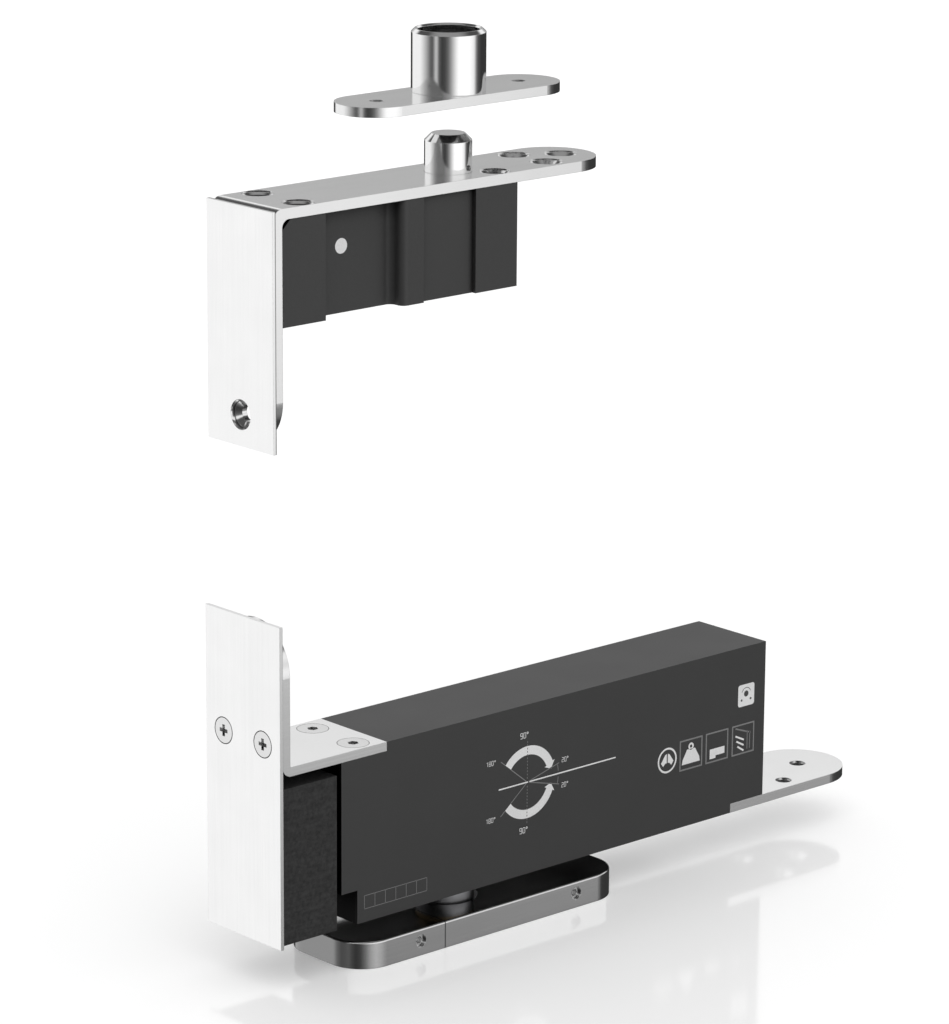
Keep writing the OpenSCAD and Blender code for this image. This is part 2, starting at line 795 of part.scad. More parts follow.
module rack_window_outline() {
    pitch = PI * tooth_module;
    half_pitch_line = (pitch / 2 - backlash) / 2;
    tip = pinion_r - rack_addendum;
    root = tip_r + tooth_root_gap;
    half_tip = half_pitch_line - rack_addendum * tan(pressure_angle);
    half_root = half_pitch_line + (root - pinion_r) * tan(pressure_angle);
    difference() {
        translate([-window_half, -spindle_r - 1]) square([2 * window_half, root + spindle_r + 1]);
        for (tooth = [-5:4])
            translate([(tooth + 0.5) * pitch, 0])
                polygon([[-half_tip, tip], [half_tip, tip], [half_root, root], [half_root, root + 1],
                    [-half_root, root + 1], [-half_root, root]]);
    }
}

// A ring around the piston at each of its two seals
module piston_rings(outer_r) {
    for (x = [piston_front + 3, piston_rear - 5])
        translate([x, 0, bore_z]) rotate([0, 90, 0]) ring(outer_r, bore_r - 1.5, 0, groove_w);
}

module rack_piston() {
    color("lightsteelblue")
    difference() {
        translate([piston_front, 0, bore_z]) rotate([0, 90, 0])
            cylinder(r = bore_r - running_gap, h = piston_rear - piston_front);
        translate([0, 0, bore_z - bore_r - 1]) linear_extrude(2 * bore_r + 2) rack_window_outline();
        piston_rings(bore_r + 1);
    }
}

module piston_seals() {
    color("black") piston_rings(bore_r - running_gap / 2);
}

// ---- top pivot, fixed to the door ----

module housing_screw_places() {
    for (x = [housing_screw_x1, housing_screw_x2])
        for (side = [-1, 1])
            translate([x, side * housing_screw_y, top_z]) children();
}

module top_circle_places() {
    for (turn = [0, 120, 240])
        translate([top_circle_x, 0, top_z]) rotate(turn) translate([top_circle_r, 0, 0]) children();
}

module top_bracket() {
    color("gainsboro")
    difference() {
        union() {
            translate([leg_x, 0, top_z]) mirror([0, 0, 1])
                bent_bracket(bracket_t, top_w / 2, top_centre - leg_x, top_leg, bend_outer_r, top_bend_r);
            translate([top_centre, 0, plate_under]) cylinder(d = top_w, h = bracket_t);
        }
        translate([0, 0, plate_under - 1]) cylinder(r = pin_r + running_gap, h = far);
        housing_screw_places() flush_hole(housing_hole_d, screw_head_h, housing_screw_d, bracket_t + 1);
        top_circle_places() flush_hole(top_hole_head_d, open_hole_head_h, top_hole_d, bracket_t + 1);
        leg_screw_hole();
    }
}

// The open hole for the screw that goes through the top edge plate and the bracket's leg
module leg_screw_hole() {
    translate([-edge_x, 0, leg_screw_z]) rotate([0, -90, 0])
        flush_hole(leg_hole_head_d, open_hole_head_h, leg_hole_d, 10);
}

module top_edge_plate() {
    color("whitesmoke")
    difference() {
        translate([-edge_x, -top_plate_w / 2, top_plate_z])
            cube([edge_plate_t, top_plate_w, top_plate_h]);
        leg_screw_hole();
    }
}

// Plan outline of the moulded housing; the same on both sides
module housing_outline() {
    soft = 2.2;
    front = leg_x + bracket_t;
    translate([front, -housing_half]) square([step_front - front, 2 * housing_half]);
    translate([step_front - cut, -deep_half]) square([rib_rear - step_front, 2 * deep_half]);
    translate([rib_front + soft, -housing_half]) square([rib_rear - rib_front - soft, 2 * housing_half]);
    translate([rib_front, -housing_half + soft]) square([rib_rear - rib_front, 2 * (housing_half - soft)]);
    for (side = [-1, 1])
        translate([rib_front + soft, side * (housing_half - soft)]) circle(r = soft);
    difference() {
        translate([rib_front - soft, -deep_half - soft]) square([soft + cut, 2 * (deep_half + soft)]);
        for (side = [-1, 1])
            translate([rib_front - soft, side * (deep_half + soft)]) circle(r = soft);
    }
    translate([rib_rear - cut, -shallow_half]) square([step_rear - rib_rear + 2 * cut, 2 * shallow_half]);
    translate([step_rear, -housing_half]) square([housing_rear - step_rear, 2 * housing_half]);
}

module top_housing() {
    corner = top_bend_r + bend_gap;
    color("#3a3a3a")
    difference() {
        translate([0, 0, housing_bottom]) linear_extrude(housing_h) housing_outline();
        // corner cut clear of the bracket's bend
        translate([leg_x + bracket_t, 0, plate_under]) rotate([90, 0, 0])
            linear_extrude(2 * top_w, center = true)
                polygon([[-1, 1], [corner + 1, 1], [corner, 0], [0, -corner], [-1, -corner]]);
        translate([0, 0, guide_z]) cylinder(r = guide_r, h = far);
        translate([0, 0, well_floor]) cylinder(r = pin_r + 1, h = far);
        housing_screw_places() translate([0, 0, -housing_screw_len - housing_head_recess])
            cylinder(d = housing_screw_d, h = far);
        translate([cross_pin_x, 0, cross_pin_z]) rotate([90, 0, 0])
            cylinder(d = cross_pin_d, h = far, center = true);
    }
}

module housing_screws() {
    color("#202020")
    housing_screw_places() translate([0, 0, -housing_head_recess])
        flush_screw(housing_head_d, housing_head_h, housing_screw_d, housing_screw_len, "hex");
}

module cross_pin() {
    color("white")
    translate([cross_pin_x, 0, cross_pin_z]) rotate([90, 0, 0])
        cylinder(d = cross_pin_d, h = 2 * deep_half, center = true);
}

module pin_guide() {
    color("darkgoldenrod")
    ring(guide_r, pin_r + running_gap, guide_z, plate_under);
}

module top_pin() {
    edge = 2.2;
    color("silver")
    difference() {
        rotate_extrude()
            polygon([[0, pin_low], [pin_r, pin_low], [pin_r, top_z + pin_out - edge],
                [pin_r - edge, top_z + pin_out], [0, top_z + pin_out]]);
        translate([0, 0, pin_low - 1]) cylinder(r = pin_seat_r, h = pin_seat_top - pin_low + 1);
        ring(pin_r + 1, pin_r - 1, clip_z, clip_z + clip_t);
    }
}

module pin_clip() {
    color("dimgray")
    ring(pin_r + 0.8, pin_r - 1, clip_z, clip_z + clip_t);
}

module pin_spring() {
    wire = 1.2;
    color("steelblue")
    rotate([0, -90, 0]) coil(well_floor, pin_seat_top, pin_seat_r - wire / 2 - 0.4, wire, 6);
}

floor_base();
base_cover_front();
base_cover_rear();
cover_grub_screws();
spindle();
socket_plate();
socket_bush();
socket_liner();
closer_body();
label_sleeve();
valve_block();
valve_block_screws();
filler_plug();
front_bracket();
bracket_screws();
front_edge_plate();
edge_plate_screws();
rear_tab();
rear_tab_screws();
lower_bearing();
upper_bearing();
spindle_seal();
thrust_washer();
end_plug();
end_plug_seal();
front_spring();
rear_spring();
rack_piston();
piston_seals();
closing_valve();
latching_valve();
top_bracket();
top_edge_plate();
top_housing();
housing_screws();
cross_pin();
pin_guide();
pin_spring();
top_pin();
pin_clip();
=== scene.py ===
"""Looks of the pivot hinge: finishes, printed marks, studio and camera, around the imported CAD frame.
Metres, in the frame of the CAD model: origin on the pivot axis at floor level, +Z up, +X along the door."""

import math

import bmesh
import bpy
from mathutils import Matrix, Vector


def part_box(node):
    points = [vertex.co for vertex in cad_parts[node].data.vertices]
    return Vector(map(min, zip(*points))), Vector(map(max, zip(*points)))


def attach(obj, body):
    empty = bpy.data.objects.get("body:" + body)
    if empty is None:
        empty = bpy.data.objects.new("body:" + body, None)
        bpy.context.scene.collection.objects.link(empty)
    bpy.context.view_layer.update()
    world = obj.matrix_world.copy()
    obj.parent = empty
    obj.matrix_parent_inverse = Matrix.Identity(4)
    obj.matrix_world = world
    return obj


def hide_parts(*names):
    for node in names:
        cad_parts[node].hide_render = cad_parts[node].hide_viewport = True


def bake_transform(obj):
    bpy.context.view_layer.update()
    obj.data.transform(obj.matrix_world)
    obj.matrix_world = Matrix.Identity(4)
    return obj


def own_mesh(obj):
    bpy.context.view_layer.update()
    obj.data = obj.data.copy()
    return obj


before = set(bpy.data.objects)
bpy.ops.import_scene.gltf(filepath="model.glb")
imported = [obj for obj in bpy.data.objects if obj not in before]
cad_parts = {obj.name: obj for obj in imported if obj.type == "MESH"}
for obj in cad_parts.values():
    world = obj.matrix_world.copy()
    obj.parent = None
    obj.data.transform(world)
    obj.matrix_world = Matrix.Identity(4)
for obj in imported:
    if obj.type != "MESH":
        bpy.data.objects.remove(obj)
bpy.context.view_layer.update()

MM = 0.001
TAU = 2 * math.pi


# ---------- node helpers ----------

class Nodes:
    """Short calls for building a node tree."""

    def __init__(self, tree):
        self.tree = tree

    def add(self, kind, inputs=None, **settings):
        """Adds a node, sets its properties and its inputs; an input may be a value or another output."""
        node = self.tree.nodes.new(kind)
        for name, value in settings.items():
            setattr(node, name, value)
        for key, value in (inputs or {}).items():
            if isinstance(value, bpy.types.NodeSocket):
                self.tree.links.new(value, node.inputs[key])
            else:
                node.inputs[key].default_value = value
        return node

    def math(self, operation, *values):
        return self.add("ShaderNodeMath", dict(enumerate(values)), operation=operation).outputs[0]

    def vector_math(self, operation, *values):
        return self.add("ShaderNodeVectorMath", dict(enumerate(values)), operation=operation).outputs[0]

    def ramp(self, factor, stops):
        """A colour ramp through grey stops given as (position, grey)."""
        node = self.add("ShaderNodeValToRGB", {"Fac": factor})
        elements = node.color_ramp.elements
        while len(elements) > 1:
            elements.remove(elements[-1])
        elements[0].position = stops[0][0]
        elements[0].color = (*[stops[0][1]] * 3, 1)
        for position, grey in stops[1:]:
            elements.new(position).color = (grey, grey, grey, 1)
        return node.outputs["Color"]

    def mix(self, factor, first, second):
        """Blends two colours, each a value or an output."""
        return self.add("ShaderNodeMix", {0: factor, 6: first, 7: second}, data_type="RGBA").outputs[2]

    def noise(self, scale, detail=2.0, roughness=0.5, stretch=(1, 1, 1)):
        """Noise on object coordinates in metres, squeezed by stretch along each axis."""
        coords = self.add("ShaderNodeTexCoord").outputs["Object"]
        scaled = self.vector_math("MULTIPLY", coords, stretch)
        node = self.add("ShaderNodeTexNoise",
                        {"Vector": scaled, "Scale": scale, "Detail": detail, "Roughness": roughness})
        return node.outputs["Fac"]

    def between(self, factor, low, high):
        """Maps a factor from 0..1 to low..high."""
        return self.add("ShaderNodeMapRange", {"Value": factor, "To Min": low, "To Max": high}).outputs[0]

    def bump(self, height, distance, normal=None):
        inputs = {"Height": height, "Distance": distance, "Strength": 1.0}
        if normal is not None:
            inputs["Normal"] = normal
        return self.add("ShaderNodeBump", inputs).outputs[0]


def new_material(name):
    """A material with a Principled shader; returns (material, nodes, shader)."""
    material = bpy.data.materials.new(name)
    material.use_nodes = True
    nodes = Nodes(material.node_tree)
    return material, nodes, material.node_tree.nodes["Principled BSDF"]


def link(nodes, output, shader, socket):
    nodes.tree.links.new(output, shader.inputs[socket])


def put(name, data):
    """A new object with this mesh, lamp or camera, in the scene."""
    thing = bpy.data.objects.new(name, data)
    bpy.context.scene.collection.objects.link(thing)
    return thing


# ---------- materials ----------

def painted_crease_shade(nodes, reach, low=0.1, high=0.45, darkest=0.1):
    """Painted shade from ambient occlusion: falls from 1 on open faces to darkest deep in gaps narrower than
    reach.
    """
    shade = nodes.add("ShaderNodeAmbientOcclusion", {"Distance": reach}, samples=6)
    return nodes.add("ShaderNodeMapRange", {"Value": shade.outputs["AO"], "From Min": low, "From Max": high,
                                            "To Min": darkest}).outputs[0]


def slope(nodes, value, start, end, low, high=1.0):
    """Follows a value from start to end as low to high."""
    return nodes.add("ShaderNodeMapRange", {"Value": value, "From Min": start, "From Max": end,
                                            "To Min": low, "To Max": high}).outputs[0]


def axis_of(nodes, vector, axis):
    return nodes.add("ShaderNodeSeparateXYZ", {"Vector": vector}).outputs[axis]


def object_x(nodes):
    return axis_of(nodes, nodes.add("ShaderNodeTexCoord").outputs["Object"], "X")


def normal_axis(nodes, axis):
    return axis_of(nodes, nodes.add("ShaderNodeTexCoord").outputs["Normal"], axis)


def cover_shade_and_seam(nodes):
    """Paints shade on the covers' end under the block, standing in for the shaded floor it mirrors, and on
    their top under the closer, and draws their seam.
    """
    # painted shade on the faces turned to -X
    cover_end_painted_shade = slope(nodes, normal_axis(nodes, "X"), -0.95, -0.75, 0.36)
    # painted shade on the upward faces, deepest in the gap under the closer
    upward = slope(nodes, normal_axis(nodes, "Z"), 0.9, 0.99, 0.0)
    under = painted_crease_shade(nodes, 16 * MM, 0.1, 0.5, 0.25)
    cover_top_painted_shade = nodes.math("ADD", nodes.math("MULTIPLY", upward, nodes.math("SUBTRACT", under, 1.0)), 1.0)
    from_seam = nodes.math("ABSOLUTE", nodes.math("SUBTRACT", object_x(nodes), COVER_SEAM))
    seam = slope(nodes, from_seam, 0.1 * MM, 0.35 * MM, 0.25)
    return nodes.math("MULTIPLY", nodes.math("MULTIPLY", cover_end_painted_shade, seam), cover_top_painted_shade)


def plate_back_shade(nodes):
    """Draws the dark joint where the top edge plate lies on the bracket's leg."""
    return slope(nodes, object_x(nodes), PLATE_BACK - 0.15 * MM, PLATE_BACK - 0.45 * MM, 0.2)


def brushed(name, grey, roughness, grain, spread=0.06, depth=0.004, gap=1.5, shade=None):
    """Steel with fine straight brush marks; grain squeezes the noise, small along the marks. Its colour
    carries painted shade in gaps narrower than gap millimetres, and shade adds more painted shade.
    """
    material, nodes, shader = new_material(name)
    shader.inputs["Metallic"].default_value = 1.0
    marks = nodes.noise(1000, 3.0, 0.6, grain)
    broad = nodes.noise(60, 2.0, 0.5)
    tone = nodes.math("MULTIPLY_ADD", marks, 0.5, nodes.math("MULTIPLY", broad, 0.5))
    colour = nodes.ramp(tone, [(0.3, grey * (1 - spread)), (0.7, grey)])
    # painted shade: the colour darkens in creases and gaps
    colour = nodes.vector_math("MULTIPLY", colour, painted_crease_shade(nodes, gap * MM))
    # further painted shade, given by the shade function
    if shade is not None:
        colour = nodes.vector_math("MULTIPLY", colour, shade(nodes))
    link(nodes, colour, shader, "Base Color")
    link(nodes, nodes.between(marks, roughness * 0.8, roughness * 1.2), shader, "Roughness")
    soft_edge = nodes.add("ShaderNodeBevel", {"Radius": 0.15 * MM}, samples=4).outputs[0]
    link(nodes, nodes.bump(marks, depth * MM, normal=soft_edge), shader, "Normal")
    return material


def turned(name, grey, roughness):
    """Turned steel: fine rings round the vertical axis."""
    return brushed(name, grey, roughness, (0.25, 0.25, 6.0), 0.08, 0.003)


def moulded(name, grey, roughness, grain_scale, depth, reach=7, painted_end_shade=False):
    """Dark plastic or paint with a fine grain; its colour and sheen carry painted shade in gaps narrower than
    reach millimetres, and painted_end_shade paints shade on the faces turned to -X.
    """
    material, nodes, shader = new_material(name)
    grain = nodes.noise(grain_scale, 3.0, 0.6)
    broad = nodes.noise(40, 2.0, 0.5)
    colour = nodes.ramp(nodes.math("MULTIPLY_ADD", grain, 0.6, nodes.math("MULTIPLY", broad, 0.4)),
                        [(0.3, grey * 0.9), (0.7, grey * 1.1)])
    # painted shade in creases and gaps
    shade = painted_crease_shade(nodes, reach * MM, 0.3, 0.85, 0.05)
    # painted shade on the faces turned to -X
    if painted_end_shade:
        shade = nodes.math("MULTIPLY", shade, slope(nodes, normal_axis(nodes, "X"), -0.9, -0.5, 0.08))
    link(nodes, nodes.vector_math("MULTIPLY", colour, shade), shader, "Base Color")
    # the painted shade also dims the sheen
    link(nodes, nodes.math("MULTIPLY", shade, 0.5), shader, "Specular IOR Level")
    link(nodes, nodes.between(broad, roughness * 0.92, roughness * 1.08), shader, "Roughness")
    link(nodes, nodes.bump(grain, depth * MM), shader, "Normal")
    return material


def powder_coat(name, grey):
    """Rough black coat over a sawn block, with faint level marks."""
    material, nodes, shader = new_material(name)
    grain = nodes.noise(900, 4.0, 0.65)
    marks = nodes.noise(400, 3.0, 0.6, (0.2, 0.2, 2.5))
    mixed = nodes.math("MULTIPLY_ADD", grain, 0.75, nodes.math("MULTIPLY", marks, 0.25))
    link(nodes, nodes.ramp(mixed, [(0.36, grey * 0.4), (0.64, grey * 1.9)]), shader, "Base Color")
    link(nodes, nodes.between(grain, 0.55, 0.75), shader, "Roughness")
    link(nodes, nodes.bump(mixed, 0.15 * MM), shader, "Normal")
    return material


def tinted_metal(name, colour, roughness):
    """Bronze, brass or dark spring wire with a faint mottle."""
    material, nodes, shader = new_material(name)
    shader.inputs["Metallic"].default_value = 1.0
    mottle = nodes.noise(500, 3.0, 0.6)
    mixed = nodes.mix(nodes.between(mottle, 0.0, 0.3), (*colour, 1), (*[c * 0.6 for c in colour], 1))
    link(nodes, mixed, shader, "Base Color")
    link(nodes, nodes.between(mottle, roughness * 0.85, roughness * 1.15), shader, "Roughness")
    return material


COVER_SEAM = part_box("base_cover_rear")[0][0]
PLATE_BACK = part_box("top_edge_plate")[1][0]
UPRIGHT = (1.5, 1.5, 0.02)
LEVEL_X = (0.02, 1.5, 1.5)

EDGE_STEEL = brushed("edge_plate_steel", 0.93, 0.16, UPRIGHT)
TOP_EDGE_STEEL = brushed("top_edge_plate_steel", 0.93, 0.16, UPRIGHT, shade=plate_back_shade)
PLATE_STEEL = brushed("plate_steel", 0.86, 0.15, LEVEL_X)
COVER_STEEL = brushed("cover_steel", 0.72, 0.13, LEVEL_X, shade=cover_shade_and_seam)
TURNED_STEEL = turned("turned_steel", 0.88, 0.09)
SCREW_STEEL = turned("screw_steel", 0.8, 0.2)
BODY_BLACK = moulded("body_black", 0.008, 0.5, 900, 0.02, painted_end_shade=True)
SLEEVE_BLACK = moulded("sleeve_black", 0.034, 0.42, 2500, 0.002, painted_end_shade=True)
HOUSING_BLACK = moulded("housing_black", 0.04, 0.5, 2200, 0.006)
BLOCK_BLACK = powder_coat("block_black", 0.018)
SCREW_BLACK = moulded("screw_black", 0.015, 0.6, 1500, 0.003)
WHITE_PLASTIC = moulded("white_plastic", 0.85, 0.35, 1500, 0.002)
SEAL_RUBBER = moulded("seal_rubber", 0.02, 0.7, 1200, 0.01)
BRONZE = tinted_metal("bronze", (0.45, 0.33, 0.18), 0.35)
BRASS = tinted_metal("brass", (0.75, 0.56, 0.26), 0.3)
SPRING_WIRE = tinted_metal("spring_wire", (0.35, 0.35, 0.37), 0.35)
# a low grey that paints shade on the steel of the spindle and the other parts under and inside the closer
SHADE_DARKENED_STEEL = tinted_metal("plain_steel", (0.3, 0.3, 0.31), 0.35)

FINISHES = {
    EDGE_STEEL: ["front_edge_plate"],
    TOP_EDGE_STEEL: ["top_edge_plate"],
    PLATE_STEEL: ["socket_plate", "front_bracket", "top_bracket", "rear_tab"],
    COVER_STEEL: ["base_cover_front", "base_cover_rear"],
    TURNED_STEEL: ["socket_bush", "top_pin"],
    SCREW_STEEL: ["cover_grub_screws", "bracket_screws", "edge_plate_screws", "rear_tab_screws",
                  "valve_block_screws", "filler_plug"],
    BODY_BLACK: ["closer_body"],
    SLEEVE_BLACK: ["label_sleeve"],
    HOUSING_BLACK: ["top_housing"],
    BLOCK_BLACK: ["valve_block"],
    SCREW_BLACK: ["housing_screws", "socket_liner"],
    WHITE_PLASTIC: ["cross_pin"],
    SEAL_RUBBER: ["spindle_seal", "end_plug_seal", "piston_seals"],
    BRONZE: ["lower_bearing", "upper_bearing", "thrust_washer", "pin_guide"],
    BRASS: ["closing_valve", "latching_valve"],
    SPRING_WIRE: ["front_spring", "rear_spring", "pin_spring", "pin_clip"],
    SHADE_DARKENED_STEEL: ["floor_base", "spindle", "end_plug", "rack_piston"],
}
for finish, names in FINISHES.items():
    for node_name in names:
        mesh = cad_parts[node_name].data
        mesh.materials.clear()
        mesh.materials.append(finish)


# ---------- springs ----------

def coil(node, wire_mm, turns, upright=False):
    """A smooth round wire wound through the space of a spring's solid, along X or upright, cut square."""
    low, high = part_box(node)
    along = 2 if upright else 0
    wire = wire_mm * MM / 2
    mean = (high.y - low.y) / 2 - wire
    middle = (low + high) / 2
    steps, sides = turns * 32, 12
    run = high[along] - low[along] - 2 * wire
    lean = math.atan2(run / turns, TAU * mean)
    points = []
    for i in range(steps + 1):
        a = TAU * turns * i / steps
        for j in range(sides):
            b = TAU * j / sides
            out, side = mean + wire * math.cos(b), wire * math.sin(b)
            way = low[along] + wire + run * i / steps + side * math.cos(lean)
            across = out * math.cos(a) + side * math.sin(lean) * math.sin(a)
            rise = out * math.sin(a) - side * math.sin(lean) * math.cos(a)
            points.append((middle.x - rise, middle.y + across, way) if upright
                          else (way, middle.y + across, middle.z + rise))
    faces = []
    for ring in range(0, steps * sides, sides):
        for j in range(sides):
            k = (j + 1) % sides
            faces.append((ring + j, ring + k, ring + sides + k, ring + sides + j))
    ends = [tuple(range(sides - 1, -1, -1)), tuple(steps * sides + j for j in range(sides))]
    data = bpy.data.meshes.new(node + "_coil")
    data.from_pydata(points, [], faces + ends)
    for face in data.polygons:
        face.use_smooth = len(face.vertices) == 4
    data.materials.append(SPRING_WIRE)
    wound = bmesh.new()
    wound.from_mesh(data)
    bmesh.ops.recalc_face_normals(wound, faces=wound.faces)
    wound.to_mesh(data)
    wound.free()
    piece = put(node + "_coil", data)
    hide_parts(node)
    return piece, low, high


spring, low, high = coil("front_spring", 2.4, 4)
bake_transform(spring)
spring, low, high = coil("rear_spring", 3.2, 10)
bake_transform(spring)
spring, low, high = coil("pin_spring", 1.2, 6, upright=True)
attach(spring, "top_pivot")
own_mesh(spring)


# ---------- printed marks on the sleeve's -Y face ----------

class Print:
    """Flat marks laid on the label face, in millimetres of X and Z."""

    LIFT = 0.03
    ARC_STEP = math.radians(6)

    def __init__(self, face_y):
        self.mesh = bmesh.new()
        self.y = face_y - self.LIFT * MM

    def polygon(self, points):
        corners = [self.mesh.verts.new((x * MM, self.y, z * MM)) for x, z in points]
        self.mesh.faces.new(corners)

    def line(self, start, end, width):
        run = Vector(end) - Vector(start)
        side = Vector((-run.y, run.x)).normalized() * width / 2
        a, b = Vector(start), Vector(end)
        self.polygon([a - side, b - side, b + side, a + side])

    def dashes(self, start, end, width, dash, gap):
        a, b = Vector(start), Vector(end)
        way = (b - a).normalized()
        count = int(((b - a).length + gap) / (dash + gap))
        for i in range(count):
            at = a + way * i * (dash + gap)
            self.line(at, at + way * dash, width)

    def arc(self, centre, inner, outer, start_deg, end_deg):
        start, end = math.radians(start_deg), math.radians(end_deg)
        steps = max(2, round(abs(end - start) / self.ARC_STEP))
        angles = [start + (end - start) * i / steps for i in range(steps + 1)]
        for a, b in zip(angles, angles[1:]):
            self.polygon([(centre[0] + r * math.cos(t), centre[1] + r * math.sin(t))
                          for r, t in ((inner, a), (outer, a), (outer, b), (inner, b))])

    def disc(self, centre, radius):
        angles = [TAU * i / 32 for i in range(32)]
        self.polygon([(centre[0] + radius * math.cos(t), centre[1] + radius * math.sin(t)) for t in angles])

    def number(self, text, left, middle, height, width):
        """Plain stroke figures and a degree ring, standing on the level line through middle."""
        for figure in text:
            if figure == "o":
                centre = (left + height * 0.18, middle + height * 0.35)
                self.arc(centre, height * 0.1, height * 0.1 + width, 0, 360)
                continue
            for stroke in FIGURES[figure]:
                points = [(left + x * height / 2, middle + (z - 1) * height / 2) for x, z in stroke]
                for a, b in zip(points, points[1:]):
                    self.line(a, b, width)
            left += height * 0.76

    def square_frame(self, centre, side, width):
        half = side / 2
        corners = [(-half, -half), (half, -half), (half, half), (-half, half)]
        inner = [(x * (1 - width / half), z * (1 - width / half)) for x, z in corners]
        for i in range(4):
            k = (i + 1) % 4
            self.polygon([(centre[0] + x, centre[1] + z)
                          for x, z in (corners[i], corners[k], inner[k], inner[i])])

    def rounded_square(self, centre, side, radius):
        reach = side / 2 - radius
        points = []
        for quarter, (sx, sz) in enumerate(((1, 1), (-1, 1), (-1, -1), (1, -1))):
            for i in range(7):
                t = math.radians(90 * quarter + 15 * i)
                points.append((centre[0] + sx * reach + radius * math.cos(t),
                               centre[1] + sz * reach + radius * math.sin(t)))
        self.polygon(points)

    def finish(self, name, material, body):
        data = bpy.data.meshes.new(name)
        bmesh.ops.recalc_face_normals(self.mesh, faces=self.mesh.faces)
        for face in self.mesh.faces:
            if face.normal.y > 0:
                face.normal_flip()
        self.mesh.to_mesh(data)
        self.mesh.free()
        data.materials.append(material)
        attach(put(name, data), body)


FIGURES = {
    "0": [[(0, 0), (1, 0), (1, 2), (0, 2), (0, 0)]],
    "1": [[(0.2, 1.6), (0.7, 2), (0.7, 0)]],
    "2": [[(0, 2), (1, 2), (1, 1), (0, 1), (0, 0), (1, 0)]],
    "8": [[(0, 0), (1, 0), (1, 2), (0, 2), (0, 0)], [(0, 1), (1, 1)]],
    "9": [[(0, 0), (1, 0), (1, 2), (0, 2), (0, 1), (1, 1)]],
}

FACE_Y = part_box("label_sleeve")[0].y

DIAL = (21.3, 46.5)
RING_IN, RING_OUT = 9.25, 12.25
OPEN_DEG, ARROW_DEG, LATCH_DEG = 141.4, 24.0, 14.5


def dial_point(radius, degrees):
    t = math.radians(degrees)
    return (DIAL[0] + radius * math.cos(t), DIAL[1] + radius * math.sin(t))


def swing_dial(bright, faint):
    """Two arcs with arrowheads for the two ways of swing, and the lines that divide them."""
    for side in (1, -1):
        bright.arc(DIAL, RING_IN, RING_OUT, side * OPEN_DEG, side * ARROW_DEG)
        bright.polygon([dial_point(RING_IN - 0.9, side * ARROW_DEG),
                        dial_point(RING_OUT + 0.9, side * ARROW_DEG),
                        dial_point((RING_IN + RING_OUT) / 2, side * (ARROW_DEG - 11))])
        faint.line(dial_point(0.4, side * OPEN_DEG), dial_point(RING_IN, side * OPEN_DEG), 0.3)
        faint.line(dial_point(RING_OUT, side * OPEN_DEG), dial_point(RING_OUT + 2.6, side * OPEN_DEG), 0.3)
        faint.line(dial_point(0.4, side * LATCH_DEG), dial_point(14.5, side * LATCH_DEG), 0.3)
        faint.arc(DIAL, 13.6, 13.85, side * 4, side * (LATCH_DEG - 1))
        faint.dashes((DIAL[0], DIAL[1] + side * 1.2), (DIAL[0], DIAL[1] + side * 14.5), 0.25, 0.6, 0.5)
        bright.number("90o", 18.2, DIAL[1] + side * 16.1, 1.8, 0.22)
        bright.number("20o", 36.6, DIAL[1] + side * 4.3, 1.5, 0.17)
        bright.number("180o", 3.4, DIAL[1] + side * 9.6, 1.5, 0.17)
    bright.line((8.8, DIAL[1]), (60.9, DIAL[1]), 0.45)


def empty_cells(faint):
    """A bare frame of six cells low on the face."""
    left, right, bottom, top = -48.1, -21.9, 19.6, 24.0
    for z in (bottom, top):
        faint.line((left, z), (right, z), 0.2)
    for i in range(7):
        x = left + (right - left) * i / 6
        faint.line((x, bottom), (x, top), 0.2)


ICON_X = (95.9, 108.15, 120.6)
ICON_Z, ICON_SIDE = 40.4, 10.7


def icon_row(bright, faint):
    """A ring with two leaves, then three framed squares: a weight, a stepped block and a hatched corner."""
    ring = (84.8, 40.3)
    bright.arc(ring, 3.75, 4.4, 0, 360)
    for side in (1, -1):
        leaf = ((0.25, 2.3), (1.0, 2.0), (2.9, -0.6), (1.9, -1.9), (0.9, -0.9), (0.25, -0.9))
        bright.polygon([(ring[0] + side * x, ring[1] + z) for x, z in leaf])
    for x in ICON_X:
        faint.square_frame((x, ICON_Z), ICON_SIDE, 0.55)
    weight_x = ICON_X[0]
    weight = ((-4.2, 0.2), (4.2, 0.2), (3.9, 1.8), (1.9, 5.2), (-1.9, 5.2), (-3.9, 1.8))
    bright.polygon([(weight_x + x, 36.9 + z) for x, z in weight])
    bright.arc((weight_x, 43.0), 0.55, 1.25, 0, 360)
    bright.polygon([(104.8, 39.8), (104.8, 36.4), (107.6, 36.4), (107.6, 37.3), (111.8, 37.3), (111.8, 39.8)])
    for i in range(3):
        z = 41.9 - 1.9 * i
        bright.line((117.0 + 0.5 * i, z), (121.0, z - 1.9), 0.6)
    for x in (122.6, 123.8):
        faint.line((x, 36.5), (x, 42.6), 0.35)
    faint.line((116.9, 44.6), (124.2, 42.0), 0.5)


def valve_mark(bright, dark):
    """A light rounded square with a valve's round face and its two stops."""
    centre = (121.7, 55.7)
    bright.rounded_square(centre, 7.7, 0.9)
    dark.y -= 0.02 * MM
    dark.disc((centre[0], centre[1] + 0.45), 1.05)
    dark.arc((centre[0], centre[1] + 0.45), 2.05, 2.25, 20, 160)
    for side in (-1, 1):
        dark.disc((centre[0] + side * 2.15, centre[1] - 1.6), 0.4)


def ink(name, grey):
    return moulded(name, grey, 0.45, 2500, 0.001)


INK_BRIGHT = ink("ink_bright", 0.8)
INK_FAINT = ink("ink_faint", 0.2)
INK_DARK = ink("ink_dark", 0.05)

